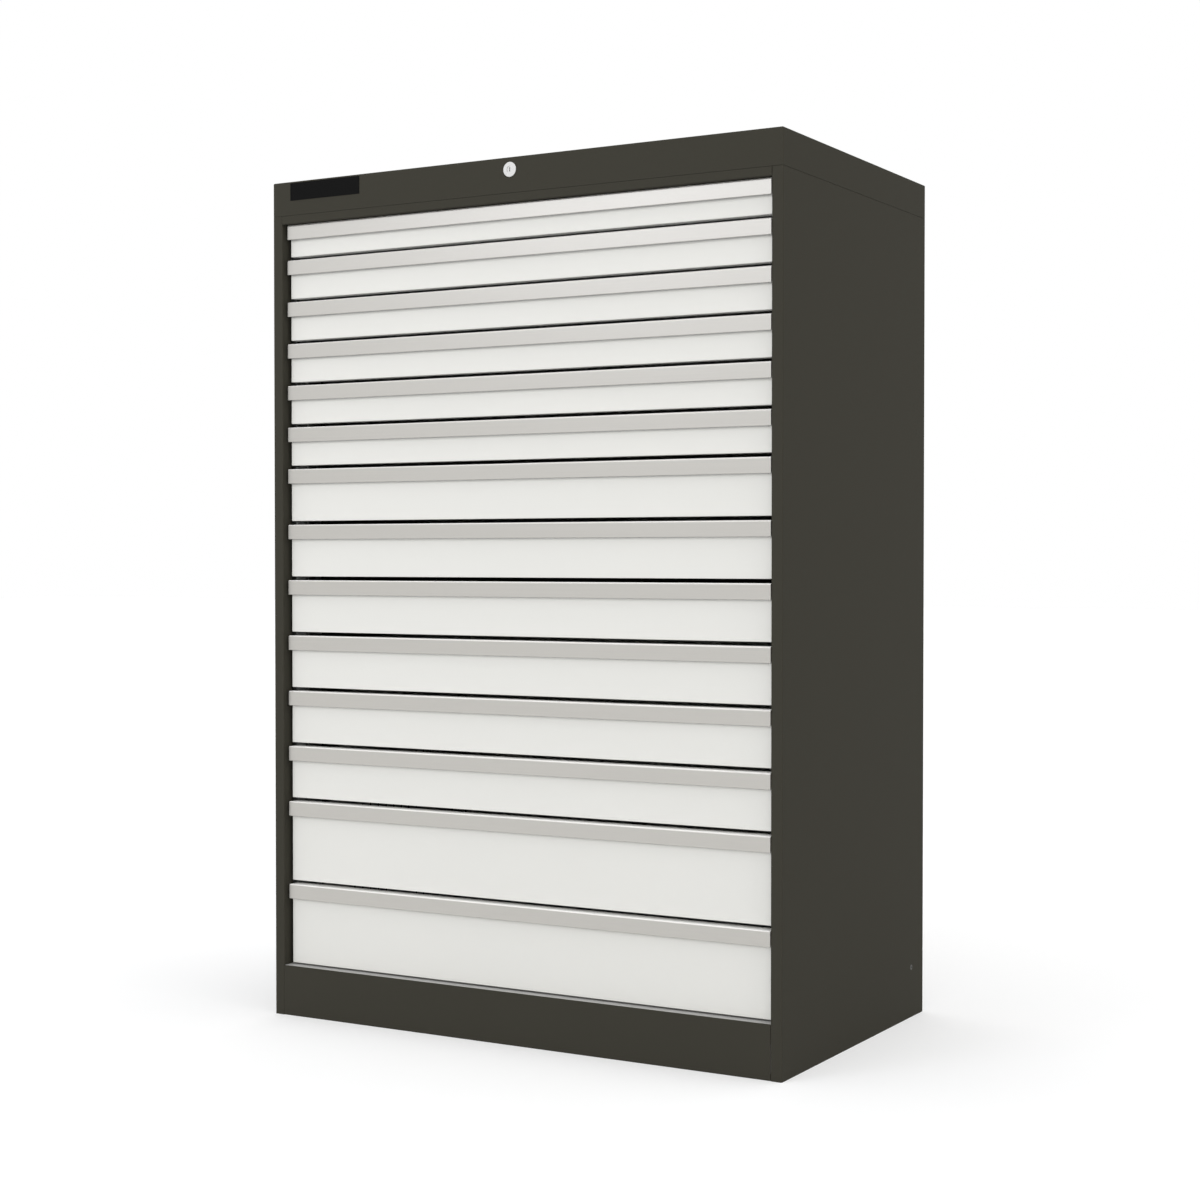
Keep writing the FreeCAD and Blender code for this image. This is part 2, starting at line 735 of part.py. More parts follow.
def build():
    """Write every node of the cabinet."""
    os.makedirs("parts", exist_ok=True)
    panel = make_side_panel()
    save("right_side_panel", [panel])
    save("left_side_panel", [mirrored(panel)])
    save("back_panel", [make_back_panel()])
    save("top_cap", [make_top_cap()])
    save("header_rail", [make_header_rail()])
    top_rail = make_top_rail()
    save("top_rails", [top_rail, mirrored(top_rail)])
    save("plinth", [make_plinth()])
    save("floor_pan", [make_floor_pan()])
    save("rear_base_rail", [make_rear_base_rail()])
    uprights = [make_upright(depth) for depth in (front_upright_depth, rear_upright_depth)]
    save("slotted_uprights", uprights + [mirrored(upright) for upright in uprights])
    fixed_rails = [make_fixed_rail(bottom) for bottom, top in levels]
    save("fixed_rails", fixed_rails + [mirrored(rail) for rail in fixed_rails])
    save("badge_plate", [make_badge_plate()])
    save("side_screws", make_side_screws())
    save("lock_barrel", [make_barrel(), make_lock_nut()])
    save("lock_plug", [make_plug(), make_cam()])
    save("lock_link", [make_link()])
    save("lock_bar", make_lock_bar())
    save("lock_guides", make_lock_guides())
    for index, (bottom, top) in enumerate(levels):
        name = "%02d" % (index + 1)
        tray_rail = make_tray_rail(bottom)
        tray = [make_tray(bottom, top), make_front_pan(bottom, top)]
        tray += [tray_rail, mirrored(tray_rail), make_striker(bottom)]
        save("drawer_" + name + "_body", tray)
        save("drawer_" + name + "_handle", [make_handle(top)])
        slide = make_slide(bottom)
        save("slide_" + name, slide + [mirrored(piece) for piece in slide])


build()
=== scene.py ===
"""A heavy-duty drawer cabinet dressed for a picture: painted shell, drawer fronts and pulls, trays, slides
and lock, on a plain pale floor in soft light. All sizes are metres, in the frame of the cabinet."""
import bpy
import math
from bpy.props import FloatProperty, FloatVectorProperty, PointerProperty
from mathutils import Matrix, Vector


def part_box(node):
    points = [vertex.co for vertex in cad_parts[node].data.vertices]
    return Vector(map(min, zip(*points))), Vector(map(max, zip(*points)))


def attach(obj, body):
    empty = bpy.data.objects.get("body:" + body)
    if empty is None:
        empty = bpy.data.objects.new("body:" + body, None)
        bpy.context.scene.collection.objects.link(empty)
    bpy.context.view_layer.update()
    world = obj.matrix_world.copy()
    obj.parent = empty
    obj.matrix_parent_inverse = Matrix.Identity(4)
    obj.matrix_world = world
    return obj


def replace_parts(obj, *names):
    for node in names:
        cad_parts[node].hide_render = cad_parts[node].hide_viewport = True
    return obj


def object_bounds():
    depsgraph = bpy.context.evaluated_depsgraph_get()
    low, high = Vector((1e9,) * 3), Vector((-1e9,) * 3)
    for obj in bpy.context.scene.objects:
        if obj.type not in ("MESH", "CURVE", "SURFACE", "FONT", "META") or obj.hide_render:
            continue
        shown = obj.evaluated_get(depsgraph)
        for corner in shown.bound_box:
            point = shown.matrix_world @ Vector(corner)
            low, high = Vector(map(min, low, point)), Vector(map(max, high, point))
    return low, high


bl_info = {
    "name": "Drawer cabinet",
    "version": (1, 0, 0),
    "blender": (4, 5, 0),
    "location": "View3D > Sidebar > Cabinet",
    "description": "Builds the finished look of a heavy-duty drawer cabinet round its frame",
    "category": "Object",
}

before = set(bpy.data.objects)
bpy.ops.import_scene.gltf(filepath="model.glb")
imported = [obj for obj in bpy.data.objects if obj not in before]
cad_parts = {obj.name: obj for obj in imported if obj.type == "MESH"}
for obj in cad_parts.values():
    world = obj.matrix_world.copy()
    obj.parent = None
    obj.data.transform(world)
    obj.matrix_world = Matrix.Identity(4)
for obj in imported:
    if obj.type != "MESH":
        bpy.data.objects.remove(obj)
cad_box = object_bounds()
drawers = sorted(name.removesuffix("_body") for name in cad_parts
                 if name.startswith("drawer_") and name.endswith("_body"))
SIDES = (-1, 1)
WHITE = (1, 1, 1)
SHADER = "Principled BSDF"
SMOOTH_ANGLE = math.radians(35)
BEVEL_ANGLE = math.radians(40)
ARC_STEPS = 5


def colour_setting(name, description, default):
    """A colour that shows in the panel."""
    return FloatVectorProperty(name=name, description=description, subtype="COLOR", size=3, min=0, max=1,
                               default=default)


def size_setting(name, description, default):
    """A length that shows in the panel."""
    return FloatProperty(name=name, description=description, subtype="DISTANCE", unit="LENGTH", min=0,
                         precision=4, default=default)


def share_setting(name, description, default):
    """A share from none to all that shows in the panel."""
    return FloatProperty(name=name, description=description, subtype="FACTOR", min=0, max=1, default=default)


def strength_setting(name, description, default):
    """The strength of a light that shows in the panel."""
    return FloatProperty(name=name, description=description, min=0, default=default)


class ShellSettings(bpy.types.PropertyGroup):
    """Paint and trim of the cabinet's shell."""
    paint: colour_setting("Paint", "Colour of the shell's powder coat", (0.0480, 0.0462, 0.0378))
    gloss: share_setting("Roughness", "Roughness of the shell's powder coat", 0.5)
    plating: colour_setting("Plating", "Colour of the zinc-plated inner parts", (0.42, 0.43, 0.43))
    screws: colour_setting("Screws", "Colour of the black zinc-plated side screws", (0.07, 0.07, 0.065))
    # The ledge's pale grey is partly the pan's own light grey and partly painted light, for the light from
    # above on its top.
    ledge: colour_setting("Ledge", "Colour of the floor pan over the plinth, light grey and partly painted light", (0.45, 0.45, 0.445))
    rivet_radius: size_setting("Rivet radius", "Radius of a rivet head on the back", 0.004)
    rivet_height: size_setting("Rivet height", "Height of a rivet head on the back", 0.0012)
    rivet_pitch: size_setting("Rivet pitch", "Distance between the rivets of the back", 0.145)


class DrawerSettings(bpy.types.PropertyGroup):
    """Fronts and trays of the drawers."""
    paint: colour_setting("Paint", "Colour of the drawers' powder coat", (0.738, 0.744, 0.728))
    edge: size_setting("Edge radius", "Radius of the front's edges", 0.0012)
    thickness: size_setting("Front thickness", "Thickness of the hollow front", 0.020)
    pocket: size_setting("Pocket depth", "How far the front folds back behind the pull", 0.012)
    mouth: size_setting("Pocket mouth", "Height of the fold under the top of the pull", 0.024)
    side_space: size_setting("Side space", "From the tray's side to the front's side", 0.0166)
    sheet: size_setting("Sheet", "Thickness of the tray's sheet", 0.0012)
    bend: size_setting("Bend radius", "Outside radius of the tray's folds", 0.0025)
    hem: size_setting("Hem", "Height of the rolled rim of the tray's walls", 0.0028)
    tray_rise: size_setting("Tray rise", "Height of the tray's floor over the front's lower edge", 0.004)
    tray_drop: size_setting("Tray drop", "Height of the pull over the tray's walls", 0.008)
    slot_pitch: size_setting("Slot pitch", "Distance between the slots for partitions", 0.025)
    slot_width: size_setting("Slot width", "Width of a slot for partitions", 0.004)
    slot_height: size_setting("Slot height", "Height of a slot for partitions", 0.024)
    slot_gap: size_setting("Slot gap", "Height between two rows of slots", 0.014)


class PullSettings(bpy.types.PropertyGroup):
    """The full-width pulls."""
    metal: colour_setting("Metal", "Colour of the anodised aluminium", (0.510, 0.497, 0.466))
    gloss: share_setting("Roughness", "Roughness of the anodised aluminium", 0.36)
    # The pale upper faces of the pulls are painted light, for the light that falls on their tops.
    painted_top_light: colour_setting("Painted top light", "Colour of the upper faces, painted light from above", (0.92, 0.92, 0.91))
    wall: size_setting("Wall", "Thickness of the pull's top and lip", 0.002)


class SlideSettings(bpy.types.PropertyGroup):
    """Intermediate bars, rollers and drawer channels."""
    height: size_setting("Channel height", "Height of a slide channel", 0.034)
    reach: size_setting("Channel width", "Width of a slide channel", 0.0095)
    sheet: size_setting("Channel sheet", "Thickness of a slide channel", 0.0015)
    rise: size_setting("Channel rise", "Height of the channel over the front's lower edge", 0.012)
    bar_height: size_setting("Bar height", "Height of the intermediate bar", 0.030)
    bar_thickness: size_setting("Bar thickness", "Thickness of the intermediate bar", 0.003)
    gap: size_setting("Gap", "Running gap beside the intermediate bar", 0.001)
    roller_gap: size_setting("Roller gap", "Running gap round a roller", 0.0003)
    inset: size_setting("Roller inset", "From the bar's end to the first roller", 0.022)
    spread: size_setting("Roller spread", "Distance between the two rollers of a pair", 0.230)
    axle: size_setting("Axle radius", "Radius of a roller's axle", 0.003)
    chamfer: size_setting("Roller chamfer", "Chamfer of a roller's rim", 0.0008)
    setback: size_setting("Channel setback", "From the back of the front to the channel", 0.003)
    edge: size_setting("Edge radius", "Radius of the cut edges of channels, bars and lugs", 0.0004)
    steel: colour_setting("Steel", "Colour of the rollers", (0.34, 0.34, 0.35))


class LockSettings(bpy.types.PropertyGroup):
    """The lock, the lugs that it holds, and the bare badge plate."""
    metal: colour_setting("Metal", "Colour of the nickel-plated lock", (0.46, 0.455, 0.44))
    gloss: share_setting("Roughness", "Roughness of the nickel-plated lock", 0.36)
    lug_place: size_setting("Lug place", "From the back of the front to the lug", 0.013)
    lug_rise: size_setting("Lug rise", "Height of the lug over the front's lower edge", 0.002)
    lug_height: size_setting("Lug height", "Height of the lug", 0.006)
    lug_reach: size_setting("Lug reach", "How far the lug stands out from the tray", 0.012)
    lug_sheet: size_setting("Lug thickness", "Thickness of the lug's hook", 0.004)
    lug_foot: size_setting("Lug foot", "Length of the foot that holds the lug to the tray", 0.012)
    foot_sheet: size_setting("Foot thickness", "Thickness of the lug's foot", 0.0015)
    badge: colour_setting("Badge", "Colour of the bare badge plate", (0.004, 0.004, 0.004))
    badge_rim: size_setting("Badge rim", "Width of the badge plate's rim", 0.0012)
    badge_sunk: size_setting("Badge field", "How deep the badge plate's field is sunk", 0.0003)


class StageSettings(bpy.types.PropertyGroup):
    """Floor, light and camera."""
    floor_size: size_setting("Floor size", "Side of the square floor", 60.0)
    floor_paint: colour_setting("Floor", "Colour of the floor", (0.655, 0.66, 0.67))
    floor_glow: strength_setting("Floor glow", "How far the floor is lifted towards white", 0.352)
    ambient: strength_setting("Ambient", "Strength of the light from all round", 0.5)
    key: strength_setting("Key", "Strength of the light from the front left", 0.61)
    fill: strength_setting("Fill", "Strength of the light from the front right", 0.735)
    side: strength_setting("Side", "Strength of the light from the right side", 0.54)
    warmth: colour_setting("Warmth", "Colour of the lights from the right", (1.0, 0.94, 0.82))
    top: strength_setting("Top", "Strength of the light from above", 1.6)
    panel: strength_setting("Panel", "Power of the light panel that the pulls mirror", 29.0)
    panel_colour: colour_setting("Panel colour", "Colour of the light panel", (0.90, 0.92, 1.0))
    eye: FloatVectorProperty(name="Eye", description="Place of the camera", subtype="TRANSLATION",
                             unit="LENGTH", size=3, default=(1.8979, -3.2850, 0.82544))
    turn: FloatProperty(name="Turn", description="Turn of the camera about the upright", subtype="ANGLE",
                        unit="ROTATION", default=math.radians(30.013))
    tilt: FloatProperty(name="Tilt", description="Tilt of the camera over the horizon", subtype="ANGLE",
                        unit="ROTATION", default=math.radians(-1.137))
    lens: FloatProperty(name="Lens", description="Focal length for the sensor's width",
                        subtype="DISTANCE_CAMERA", default=62.82, min=1)


class Builder:
    """Collects corners and faces of one piece."""

    def __init__(self):
        self.corners = []
        self.faces = []

    def add(self, corners, faces):
        """Corners, and faces that count from the first of them."""
        start = len(self.corners)
        self.corners += [tuple(corner) for corner in corners]
        self.faces += [tuple(start + index for index in face) for face in faces]

    def box(self, low, high):
        """A box between two corners."""
        (x0, y0, z0), (x1, y1, z1) = low, high
        corners = [(x, y, z) for x in (x0, x1) for y in (y0, y1) for z in (z0, z1)]
        self.add(corners, [(0, 1, 3, 2), (4, 6, 7, 5), (0, 4, 5, 1),
                           (2, 3, 7, 6), (0, 2, 6, 4), (1, 5, 7, 3)])

    def prism(self, outline, place, start, end):
        """A closed outline, drawn from start to end. place turns (u, v, w) into a point."""
        count = len(outline)
        corners = [place(u, v, w) for w in (start, end) for u, v in outline]
        sides = [(i, (i + 1) % count, (i + 1) % count + count, i + count) for i in range(count)]
        caps = [tuple(range(count))[::-1], tuple(range(count, 2 * count))]
        self.add(corners, sides + caps)

    def turned(self, profile, centre, axis, steps):
        """A profile of (distance along the axis, radius) turned about an axis, closed at both ends."""
        along = Vector(axis).normalized()
        across = Vector((0, 0, 1))
        third = along.cross(across)
        corners = []
        for distance, radius in profile:
            for step in range(steps):
                angle = 2 * math.pi * step / steps
                spoke = across * math.cos(angle) + third * math.sin(angle)
                corners.append(Vector(centre) + along * distance + spoke * radius)
        faces = []
        for ring in range(len(profile) - 1):
            for step in range(steps):
                near = ring * steps + step
                far = ring * steps + (step + 1) % steps
                faces.append((near, far, far + steps, near + steps))
        last = (len(profile) - 1) * steps
        faces.append(tuple(range(steps))[::-1])
        faces.append(tuple(range(last, last + steps)))
        self.add(corners, faces)

    def holed(self, cuts_u, cuts_v, is_hole, place, thickness):
        """A flat sheet on a grid of cuts, open where is_hole(column, row) is true."""
        columns = len(cuts_u)
        rows = len(cuts_v)
        corners = [place(u, v, w) for w in (0, thickness) for v in cuts_v for u in cuts_u]
        back = columns * rows
        faces = []

        def solid(column, row):
            return 0 <= column < columns - 1 and 0 <= row < rows - 1 and not is_hole(column, row)

        for row in range(rows - 1):
            for column in range(columns - 1):
                if not solid(column, row):
                    continue
                a = row * columns + column
                b = a + 1
                c = b + columns
                d = a + columns
                faces.append((d, c, b, a))
                faces.append((a + back, b + back, c + back, d + back))
                rims = ((a, b, 0, -1), (b, c, 1, 0), (c, d, 0, 1), (d, a, -1, 0))
                for first, second, step_u, step_v in rims:
                    if not solid(column + step_u, row + step_v):
                        faces.append((first, second, second + back, first + back))
        self.add(corners, faces)

    def piece(self, name, body, slot, material):
        """Turn what was collected into a piece that rides on a body."""
        mesh = bpy.data.meshes.new(name)
        mesh.from_pydata(self.corners, [], self.faces)
        mesh.validate()
        mesh.materials.append(material)
        result = bpy.data.objects.new(name, mesh)
        bpy.context.scene.collection.objects.link(result)
        mesh.shade_smooth()
        mesh.set_sharp_from_angle(angle=SMOOTH_ANGLE)
        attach(result, body)
        return result


def soften(piece, width, segments=2):
    """Round every sharp edge of a piece."""
    bevel = piece.modifiers.new("edges", "BEVEL")
    bevel.width = width
    bevel.segments = segments
    bevel.limit_method = "ANGLE"
    bevel.angle_limit = BEVEL_ANGLE
    bevel.harden_normals = True
    return piece


def rounded(corners):
    """The points of an outline whose corners are (u, v, radius). A radius of 0 keeps the corner sharp."""
    points = []
    for index, (u, v, radius) in enumerate(corners):
        if radius <= 0:
            points.append((u, v))
            continue
        here = Vector((u, v))
        before = (Vector(corners[index - 1][:2]) - here).normalized()
        after = (Vector(corners[(index + 1) % len(corners)][:2]) - here).normalized()
        half = before.angle(after) / 2
        centre = here + (before + after).normalized() * (radius / math.sin(half))
        start = here + before * (radius / math.tan(half)) - centre
        end = here + after * (radius / math.tan(half)) - centre
        for step in range(ARC_STEPS + 1):
            share = step / ARC_STEPS
            points.append(tuple(centre + (start * (1 - share) + end * share).normalized() * radius))
    return points


def new_material(name, colour, roughness, metallic=0.0, specular=0.5):
    """A material with its shader, ready for detail."""
    material = bpy.data.materials.new(name)
    material.use_nodes = True
    shader = material.node_tree.nodes[SHADER]
    shader.inputs["Base Color"].default_value = (*colour, 1)
    shader.inputs["Roughness"].default_value = roughness
    shader.inputs["Metallic"].default_value = metallic
    shader.inputs["Specular IOR Level"].default_value = specular
    return material


def add_node(material, kind, **sockets):
    """A node of a material with some of its sockets set."""
    node = material.node_tree.nodes.new(kind)
    for name, value in sockets.items():
        node.inputs[name.replace("_", " ")].default_value = value
    return node


def wire(material, start, end):
    """Join two sockets of a material."""
    material.node_tree.links.new(start, end)


def maths_node(tree, operation, first, second):
    """A node that works out one value from two. Each is a socket or a number."""
    node = tree.nodes.new("ShaderNodeMath")
    node.operation = operation
    for index, value in enumerate((first, second)):
        if isinstance(value, bpy.types.NodeSocket):
            tree.links.new(value, node.inputs[index])
        else:
            node.inputs[index].default_value = value
    return node.outputs[0]


def grain(material, scale, stretch=(1, 1, 1), detail=3.0):
    """A noise over the object's own coordinates, stretched along its axes."""
    place = add_node(material, "ShaderNodeTexCoord")
    mapping = add_node(material, "ShaderNodeMapping", Scale=stretch)
    noise = add_node(material, "ShaderNodeTexNoise", Scale=scale, Detail=detail, Roughness=0.55)
    wire(material, place.outputs["Object"], mapping.inputs["Vector"])
    wire(material, mapping.outputs["Vector"], noise.inputs["Vector"])
    return noise.outputs["Fac"]


def vary_roughness(material, noise, low, high):
    """Let the roughness wander between two values with a noise."""
    spread = add_node(material, "ShaderNodeMapRange", To_Min=low, To_Max=high)
    wire(material, noise, spread.inputs["Value"])
    wire(material, spread.outputs["Result"], material.node_tree.nodes[SHADER].inputs["Roughness"])


def colour_blend(material, share):
    """A blend of two colours by a share. Returns the sockets of both colours and of the result."""
    blend = material.node_tree.nodes.new("ShaderNodeMix")
    blend.data_type = "RGBA"
    wire(material, share, blend.inputs["Factor"])
    first, second = [socket for socket in blend.inputs if socket.type == "RGBA"]
    result = [socket for socket in blend.outputs if socket.type == "RGBA"][0]
    return first, second, result


def vary_colour(material, noise, first, second):
    """Let the colour wander between two values with a noise."""
    low, high, result = colour_blend(material, noise)
    low.default_value = (*first, 1)
    high.default_value = (*second, 1)
    wire(material, result, material.node_tree.nodes[SHADER].inputs["Base Color"])


def raise_grain(material, noise, strength, distance):
    """Turn a noise into fine relief."""
    bump = add_node(material, "ShaderNodeBump", Strength=strength, Distance=distance)
    wire(material, noise, bump.inputs["Height"])
    wire(material, bump.outputs["Normal"], material.node_tree.nodes[SHADER].inputs["Normal"])


def shade(colour, factor):
    """A colour made darker or lighter."""
    return tuple(min(channel * factor, 1) for channel in colour)


def powder_coat(name, colour, roughness, specular):
    """Powder coat: an even colour with a fine orange peel and a slight wander of its gloss."""
    material = new_material(name, colour, roughness, specular=specular)
    peel = grain(material, 420, detail=2.0)
    clouds = grain(material, 3.1, detail=4.0)
    vary_colour(material, clouds, shade(colour, 0.985), shade(colour, 1.015))
    vary_roughness(material, clouds, roughness - 0.03, roughness + 0.03)
    raise_grain(material, peel, 0.12, 0.0002)
    return material


def brushed_metal(name, colour, roughness, stretch, strength=0.15):
    """Metal with fine lines along one axis."""
    material = new_material(name, colour, roughness, metallic=1.0)
    lines = grain(material, 900, stretch=stretch, detail=2.0)
    clouds = grain(material, 2.3, detail=3.0)
    vary_colour(material, lines, shade(colour, 0.97), shade(colour, 1.03))
    vary_roughness(material, clouds, roughness - 0.02, roughness + 0.03)
    raise_grain(material, lines, strength, 0.00005)
    return material


def paint_light_on_tops(material, colour):
    """Paint the upward faces of a metal pale and not metallic: painted light that stands in for the light
    falling on the tops.
    """
    shader = material.node_tree.nodes[SHADER]
    place = add_node(material, "ShaderNodeTexCoord")
    split = add_node(material, "ShaderNodeSeparateXYZ")
    # Faces that look upward get the painted light; the more they look up, the paler they are.
    upward = add_node(material, "ShaderNodeMapRange", From_Min=0.35, From_Max=0.75)
    wire(material, place.outputs["Normal"], split.inputs["Vector"])
    wire(material, split.outputs["Z"], upward.inputs["Value"])
    bare = shader.inputs["Base Color"].links[0].from_socket
    low, high, result = colour_blend(material, upward.outputs["Result"])
    wire(material, bare, low)
    high.default_value = (*colour, 1)
    wire(material, result, shader.inputs["Base Color"])
    metal = add_node(material, "ShaderNodeMapRange", To_Min=1.0, To_Max=0.0)
    wire(material, upward.outputs["Result"], metal.inputs["Value"])
    wire(material, metal.outputs["Result"], shader.inputs["Metallic"])
    wire(material, metal.outputs["Result"], shader.inputs["Specular IOR Level"])


def zinc_plate(name, colour):
    """Zinc plating: a soft metallic grey with cloudy patches."""
    material = new_material(name, colour, 0.38, metallic=0.9)
    clouds = grain(material, 26, detail=5.0)
    vary_colour(material, clouds, shade(colour, 0.9), shade(colour, 1.12))
    vary_roughness(material, clouds, 0.32, 0.5)
    raise_grain(material, grain(material, 300), 0.08, 0.0001)
    return material


def dress(nodes, material):
    """Give the nodes of the frame a finish."""
    for name in nodes:
        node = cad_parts[name]
        if not node.material_slots:
            node.data.materials.append(material)
        for slot in node.material_slots:
            slot.material = material


def along_x(u, v, w):
    """A profile of Y and Z that runs along X."""
    return (w, u, v)


def along_y(u, v, w):
    """A profile of X and Z that runs along Y."""
    return (u, w, v)


class CABINET_OT_make_stage(bpy.types.Operator):
    """Lay the pale floor, set the soft light and place the camera"""
    bl_idname = "cabinet.make_stage"
    bl_label = "Stage"

    SUN_DISTANCE = 6
    PANEL_SIZE = 1.7
    PANEL_DIRECTION = (-27, 24)
    PANEL_CENTRE_HEIGHT = 1.1
    PANEL_DISTANCE = 5
    SENSOR_WIDTH = 36
    VIEW_END = 200

    def execute(self, context):
        settings = context.scene.cabinet_stage
        self.make_floor(settings)
        self.make_world(context, settings)
        self.make_sun("key_light", settings.key, (-24, 14), 40, WHITE)
        self.make_sun("fill_light", settings.fill, (24, 6), 30, settings.warmth)
        self.make_sun("side_light", settings.side, (80, 6), 30, settings.warmth)
        self.make_sun("top_light", settings.top, (150, 80), 80, WHITE)
        self.make_panel(settings)
        self.make_camera(context, settings)
        context.scene.view_settings.view_transform = "Standard"
        return {"FINISHED"}

    def make_floor(self, settings):
        """The floor. What the camera and the metal see of it is lifted towards white."""
        half = settings.floor_size / 2
        mesh = bpy.data.meshes.new("floor")
        mesh.from_pydata([(-half, -half, 0), (half, -half, 0), (half, half, 0), (-half, half, 0)], [],
                         [(0, 1, 2, 3)])
        material = new_material("floor_white", settings.floor_paint, 0.9, specular=0.0)
        tree = material.node_tree
        shader = tree.nodes[SHADER]
        shader.inputs["Emission Color"].default_value = (*WHITE, 1)
        path = tree.nodes.new("ShaderNodeLightPath").outputs
        seen = maths_node(tree, "MAXIMUM", path["Is Camera Ray"], path["Is Glossy Ray"])
        lift = maths_node(tree, "MULTIPLY", seen, settings.floor_glow)
        wire(material, lift, shader.inputs["Emission Strength"])
        mesh.materials.append(material)
        floor = bpy.data.objects.new("floor", mesh)
        bpy.context.scene.collection.objects.link(floor)

    def make_world(self, context, settings):
        """White for the camera and the metal, and a softer light for all else."""
        world = bpy.data.worlds.new("studio")
        world.use_nodes = True
        tree = world.node_tree
        tree.nodes.clear()
        path = tree.nodes.new("ShaderNodeLightPath").outputs
        seen = maths_node(tree, "MAXIMUM", path["Is Camera Ray"], path["Is Glossy Ray"])
        through = maths_node(tree, "MAXIMUM", seen, path["Is Transmission Ray"])
        blend = tree.nodes.new("ShaderNodeMixShader")
        output = tree.nodes.new("ShaderNodeOutputWorld")
        tree.links.new(through, blend.inputs["Fac"])
        skies = (((1.0, 0.99, 0.97), settings.ambient), (WHITE, 1.0))
        for index, (colour, strength) in enumerate(skies, start=1):
            sky = tree.nodes.new("ShaderNodeBackground")
            sky.inputs["Color"].default_value = (*colour, 1)
            sky.inputs["Strength"].default_value = strength
            tree.links.new(sky.outputs["Background"], blend.inputs[index])
        tree.links.new(blend.outputs["Shader"], output.inputs["Surface"])
        context.scene.world = world

    def make_sun(self, name, strength, direction, width, colour):
        """A far light that metal doesn't mirror. Its direction and its width are in degrees."""
        data = bpy.data.lights.new(name, "SUN")
        data.energy = strength
        data.angle = math.radians(width)
        data.color = colour
        self.place_light(data, direction, Vector((0, 0, 0)), self.SUN_DISTANCE).visible_glossy = False

    def make_panel(self, settings):
        """The light panel to the front left, above the horizon, that brightens the upper pulls."""
        data = bpy.data.lights.new("panel_light", "AREA")
        data.energy = settings.panel
        data.color = settings.panel_colour
        data.size = self.PANEL_SIZE
        centre = Vector((0, cad_box[0][1], self.PANEL_CENTRE_HEIGHT))
        self.place_light(data, self.PANEL_DIRECTION, centre, self.PANEL_DISTANCE)

    def place_light(self, data, direction, centre, distance):
        """Put a light at a distance from a centre and turn it there.

        The direction is in degrees: the azimuth from the front to the right, and the height.
        """
        lamp = bpy.data.objects.new(data.name, data)
        azimuth, height = (math.radians(value) for value in direction)
        spot = Vector((math.sin(azimuth) * math.cos(height), -math.cos(azimuth) * math.cos(height),
                       math.sin(height)))
        lamp.rotation_mode = "QUATERNION"
        lamp.rotation_quaternion = spot.to_track_quat("Z", "Y")
        lamp.location = centre + spot * distance
        bpy.context.scene.collection.objects.link(lamp)
        return lamp

    def make_camera(self, context, settings):
        """The camera of the picture."""
        data = bpy.data.cameras.new("camera")
        data.sensor_width = self.SENSOR_WIDTH
        data.lens = settings.lens
        data.clip_end = self.VIEW_END
        camera = bpy.data.objects.new("camera", data)
        camera.location = settings.eye
        camera.rotation_euler = (math.pi / 2 + settings.tilt, 0, settings.turn)
        context.scene.collection.objects.link(camera)
        context.scene.camera = camera


class CABINET_OT_dress_shell(bpy.types.Operator):
    """Paint the shell, plate the inner parts and set the rivets of the back"""
    bl_idname = "cabinet.dress_shell"
    bl_label = "Shell"

    # How much of the back's height the rivets take.
    RIVET_ROW_SHARE = 0.9

    def execute(self, context):
        settings = context.scene.cabinet_shell
        paint = powder_coat("shell_paint", settings.paint, settings.gloss, specular=0.01)
        dress(["left_side_panel", "right_side_panel", "back_panel", "top_cap", "header_rail", "top_rails",
               "plinth", "rear_base_rail"], paint)
        plating = zinc_plate("zinc_plating", settings.plating)
        dress(["slotted_uprights", "fixed_rails"], plating)
        dress(["side_screws"], zinc_plate("black_zinc", settings.screws))
        # The floor pan's pale grey is partly its own colour and partly painted light from above on the
        # ledge.
        ledge_grey_and_light = powder_coat("floor_pan_grey_and_light", settings.ledge, roughness=0.5, specular=0.05)
        dress(["floor_pan"], ledge_grey_and_light)
        self.make_rivets(settings, plating)
        return {"FINISHED"}

    def make_rivets(self, settings, material):
        """Two upright rows of domed rivets on the back panel."""
        low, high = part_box("back_panel")
        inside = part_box("left_side_panel")[1].x
        builder = Builder()
        height = settings.rivet_height
        radius = settings.rivet_radius
        profile = [(0, radius), (height * 0.6, radius * 0.8), (height, radius * 0.4)]
        count = int((high.z - low.z) * self.RIVET_ROW_SHARE / settings.rivet_pitch)
        start = (high.z + low.z - (count - 1) * settings.rivet_pitch) / 2
        for side in SIDES:
            x = -side * (inside + radius * 2)
            for index in range(count):
                centre = (x, high.y, start + index * settings.rivet_pitch)
                builder.turned(profile, centre, (0, 1, 0), steps=16)
        builder.piece("back_rivets", "cabinet", "zinc_fastener", material)


